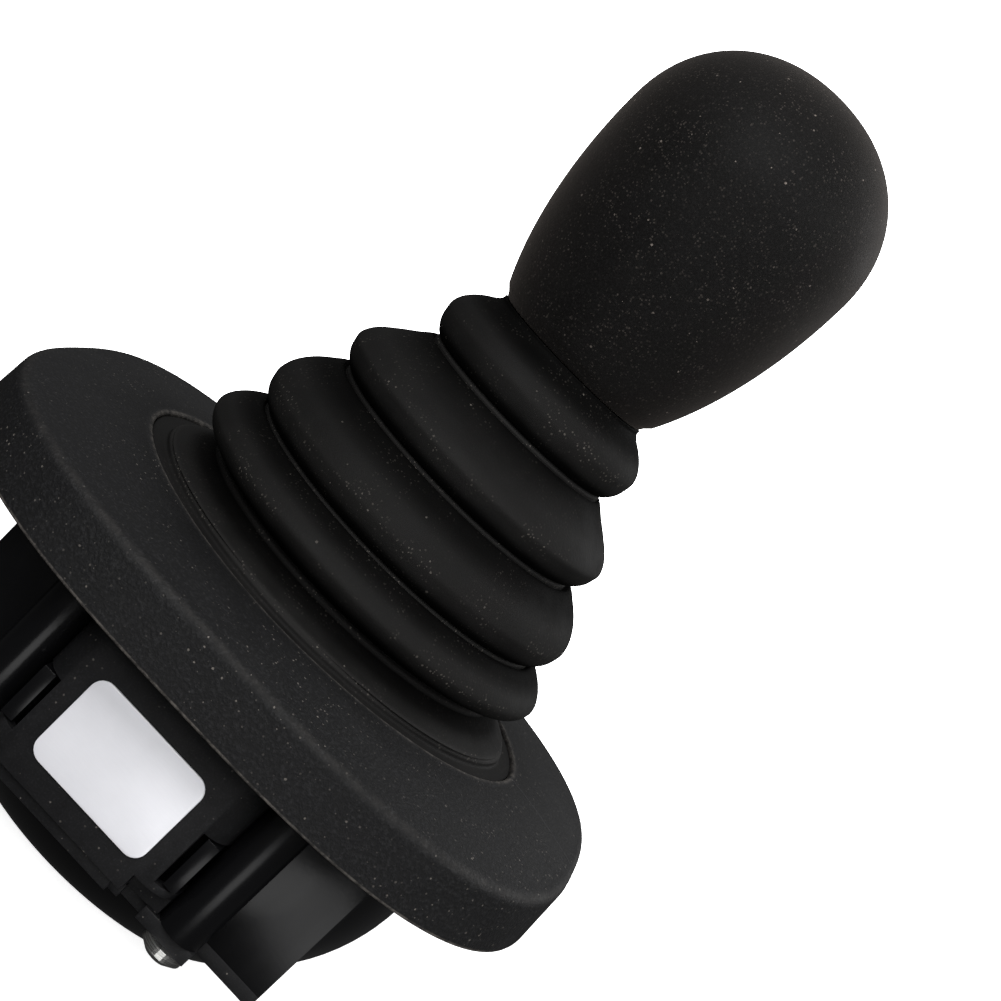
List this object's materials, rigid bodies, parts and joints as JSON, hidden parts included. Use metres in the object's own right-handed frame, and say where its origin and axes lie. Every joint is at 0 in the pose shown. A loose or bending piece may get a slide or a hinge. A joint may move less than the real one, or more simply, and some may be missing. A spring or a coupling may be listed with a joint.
{
  "type": "industrial joystick",
  "caption": "Panel-mount two-axis industrial joystick: egg-shaped knob, ribbed rubber bellows, square bezel with round opening, sprung gimbal and hall sensing below.",
  "frame": {"origin": "centre of the mounting holes on the plane of the panel's top face, on the lever's rest axis", "axes": "+Z along the lever at rest, out of the panel towards the operator; the box of electronics is on the -Y side; +X is to the operator's right"},
  "size_m": [0.09, 0.09, 0.1246],
  "materials": {
    "bezel_plastic": "rough grained, dark grey",
    "die_cast": "as cast, satin",
    "seal_rubber": "matte",
    "bellows_rubber": "satin black",
    "soft_touch": "soft-touch, finely speckled",
    "satin_plastic": "satin black",
    "black_plastic": "fine grain",
    "plated_steel": "zinc plated",
    "label_silver": "satin, bare",
    "board_green": "solder resist",
    "chip_black": "moulded",
    "flex_amber": "clear amber film",
    "header_nylon": "natural nylon",
    "contact_brass": "bright",
    "bush_bronze": "oiled",
    "ground_steel": "ground",
    "turned_steel": "turned",
    "spring_steel": "oiled wire",
    "magnet_nickel": "nickel plated"
  },
  "bodies": {
    "base": {"bezel": "bezel_plastic", "mounting_plate": "die_cast", "panel_seal": "seal_rubber", "bezel_screws": "plated_steel", "body_housing": "satin_plastic", "housing_screws": "plated_steel", "box_cover": "black_plastic", "label_plate": "label_silver", "bottom_cover": "black_plastic", "cover_screws": "plated_steel", "control_board": "board_green", "control_board_chips": "chip_black", "control_board_screws": "plated_steel", "flex_link": "flex_amber", "sensor_board": "board_green", "hall_sensors": "chip_black", "sensor_board_screws": "plated_steel", "connector_header": "header_nylon", "connector_pins": "contact_brass", "gimbal_frame": "die_cast", "frame_screws": "plated_steel", "frame_bushes": "bush_bronze", "frame_spring_pins": "ground_steel", "gate_plate": "turned_steel", "gate_screws": "plated_steel", "ring_springs": "spring_steel", "bellows": "bellows_rubber"},
    "gimbal": {"gimbal_ring": "die_cast", "ring_pins": "ground_steel", "ring_bushes": "bush_bronze", "ring_drive_pins": "ground_steel", "ring_anchor_pins": "ground_steel", "hub_springs": "spring_steel"},
    "lever": {"lever_hub": "die_cast", "hub_pins": "ground_steel", "hub_drive_pins": "ground_steel", "lever_shaft": "turned_steel", "shaft_lock_pin": "ground_steel", "magnet_holder": "black_plastic", "magnet": "magnet_nickel", "lock_nut": "plated_steel", "knob_insert": "contact_brass", "knob": "soft_touch"}
  },
  "joints": [
    {"name": "fore_aft_tilt", "type": "hinge", "parent": "base", "child": "gimbal", "pos_m": [0, 0, -0.006], "axis": [1, 0, 0], "range_deg": [-18, 18], "stiffness_Nm_per_rad": 1.2, "deforming": ["bellows", "ring_springs"]},
    {"name": "side_tilt", "type": "hinge", "parent": "gimbal", "child": "lever", "pos_m": [0, 0, -0.006], "axis": [0, 1, 0], "range_deg": [-18, 18], "stiffness_Nm_per_rad": 1.2, "deforming": ["bellows", "hub_springs"]}
  ]
}
